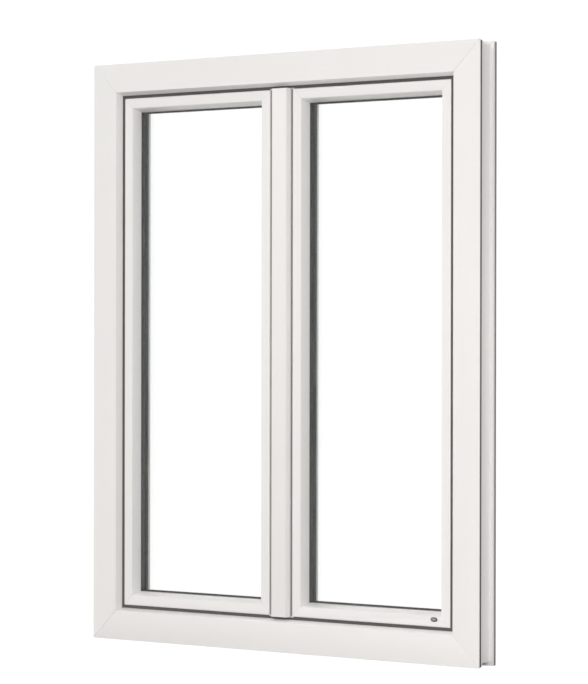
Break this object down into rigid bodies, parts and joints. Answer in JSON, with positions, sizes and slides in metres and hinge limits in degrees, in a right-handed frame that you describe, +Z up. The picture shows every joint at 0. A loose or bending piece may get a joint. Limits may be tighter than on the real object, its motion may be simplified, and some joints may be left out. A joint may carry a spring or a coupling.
{
  "type": "casement window",
  "caption": "White double casement window: mitred frame, inward-opening double-glazed leaves meeting at a floating mullion, with hinges, lever handle, locking rod and edge bolts.",
  "frame": {"origin": "centre of the sill's underside on the plane of the frame's exterior face", "axes": "+X to the right seen from outside, +Y from outside into the room, +Z up"},
  "size_m": [1.1, 0.1236, 1.4],
  "materials": {
    "white_profile": "satin white extruded profile",
    "handle_white": "white powder coat",
    "hinge_white": "white powder coat",
    "glass": "clear float glass",
    "spacer_bar": "satin mill finish",
    "seal_rubber": "matt black",
    "black_plastic": "matt black moulding",
    "badge_grey": "plain dark grey cap",
    "galvanised_steel": "galvanised",
    "bright_steel": "bright drawn steel",
    "zinc_steel": "zinc plated and passivated"
  },
  "bodies": {
    "frame": {"frame_head": "white_profile", "frame_sill": "white_profile", "frame_left_jamb": "white_profile", "frame_right_jamb": "white_profile", "frame_reinforcements": "galvanised_steel", "frame_seal": "seal_rubber", "perimeter_tape": "seal_rubber", "frame_left_hinges": "hinge_white", "frame_right_hinges": "hinge_white", "hinge_pins": "zinc_steel", "frame_hinge_screws": "zinc_steel", "bolt_keeps": "zinc_steel"},
    "active_leaf": {"active_top_rail": "white_profile", "active_bottom_rail": "white_profile", "active_hinge_stile": "white_profile", "active_lock_stile": "white_profile", "active_reinforcements": "galvanised_steel", "active_outer_glass": "glass", "active_inner_glass": "glass", "active_glass_spacer": "spacer_bar", "active_glazing_gaskets": "seal_rubber", "active_side_beads": "white_profile", "active_end_beads": "white_profile", "active_overlap_seal": "seal_rubber", "active_setting_blocks": "black_plastic", "active_meeting_seal": "seal_rubber", "active_hinge_leaves": "hinge_white", "active_hinge_screws": "zinc_steel", "lock_faceplate": "zinc_steel", "lock_gearbox": "zinc_steel", "handle_rose": "handle_white", "lock_screws": "zinc_steel", "blank_badge": "badge_grey"},
    "handle": {"handle_lever": "handle_white", "handle_spindle": "bright_steel", "drive_pinion": "zinc_steel"},
    "lock_rod": {"lock_rod": "zinc_steel", "lock_cams": "bright_steel"},
    "passive_leaf": {"passive_top_rail": "white_profile", "passive_bottom_rail": "white_profile", "passive_hinge_stile": "white_profile", "passive_meeting_stile": "white_profile", "passive_reinforcements": "galvanised_steel", "passive_outer_glass": "glass", "passive_inner_glass": "glass", "passive_glass_spacer": "spacer_bar", "passive_glazing_gaskets": "seal_rubber", "passive_side_beads": "white_profile", "passive_end_beads": "white_profile", "passive_overlap_seal": "seal_rubber", "passive_setting_blocks": "black_plastic", "passive_hinge_leaves": "hinge_white", "passive_hinge_screws": "zinc_steel", "floating_mullion": "white_profile", "mullion_end_caps": "black_plastic", "mullion_seals": "seal_rubber", "mullion_screws": "zinc_steel", "lock_keeps": "zinc_steel", "bolt_guides": "zinc_steel"},
    "top_bolt": {"top_bolt": "bright_steel"},
    "bottom_bolt": {"bottom_bolt": "bright_steel"}
  },
  "joints": [
    {"name": "active_leaf_turn", "type": "hinge", "parent": "frame", "child": "active_leaf", "pos_m": [0.52, 0.092, 0.7], "axis": [0, 0, -1], "range_deg": [0, 130]},
    {"name": "passive_leaf_turn", "type": "hinge", "parent": "frame", "child": "passive_leaf", "pos_m": [-0.52, 0.092, 0.7], "axis": [0, 0, 1], "range_deg": [0, 91]},
    {"name": "handle_turn", "type": "hinge", "parent": "active_leaf", "child": "handle", "pos_m": [0.0253, 0.1, 0.7], "axis": [0, 1, 0], "range_deg": [0, 180]},
    {"name": "lock_rod_slide", "type": "slide", "parent": "active_leaf", "child": "lock_rod", "axis": [0, 0, 1], "range_m": [0, 0.024]},
    {"name": "top_bolt_slide", "type": "slide", "parent": "passive_leaf", "child": "top_bolt", "axis": [0, 0, 1], "range_m": [0, 0.012]},
    {"name": "bottom_bolt_slide", "type": "slide", "parent": "passive_leaf", "child": "bottom_bolt", "axis": [0, 0, -1], "range_m": [0, 0.012]}
  ],
  "couplings": [
    {"joint": "passive_leaf_turn", "follows": "active_leaf_turn", "ratio": 0.7},
    {"joint": "lock_rod_slide", "follows": "handle_turn", "m_per_rad": 0.0076394}
  ]
}
